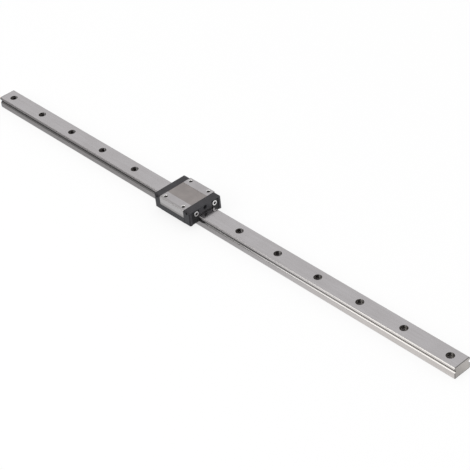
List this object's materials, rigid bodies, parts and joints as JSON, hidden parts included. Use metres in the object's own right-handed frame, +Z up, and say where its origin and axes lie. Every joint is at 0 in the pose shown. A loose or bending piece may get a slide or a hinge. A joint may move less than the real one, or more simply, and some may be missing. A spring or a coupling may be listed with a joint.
{
  "type": "linear guide rail",
  "caption": "Miniature profile rail with counterbored fixing holes and a recirculating ball carriage that slides along it.",
  "frame": {"origin": "middle of the rail's length, on its underside", "axes": "+X along the rail, +Y across it, +Z up through the fixing holes"},
  "size_m": [0.5, 0.032, 0.016],
  "materials": {
    "rail_steel": "ground",
    "block_steel": "ground",
    "black_plastic": "moulded satin",
    "seal_rubber": "matte",
    "screw_steel": "bright",
    "ball_steel": "polished"
  },
  "bodies": {
    "rail": {"rail": "rail_steel"},
    "carriage": {"carriage_block": "block_steel", "end_cap_left": "black_plastic", "end_cap_right": "black_plastic", "end_seal_left": "seal_rubber", "end_seal_right": "seal_rubber", "return_strip_front": "black_plastic", "return_strip_back": "black_plastic", "cap_screw_1": "screw_steel", "cap_screw_2": "screw_steel", "cap_screw_3": "screw_steel", "cap_screw_4": "screw_steel", "ball_row_front": "ball_steel", "ball_row_back": "ball_steel"}
  },
  "joints": [
    {"name": "carriage_slide", "type": "slide", "parent": "rail", "child": "carriage", "axis": [1, 0, 0], "range_m": [-0.212, 0.246]}
  ]
}
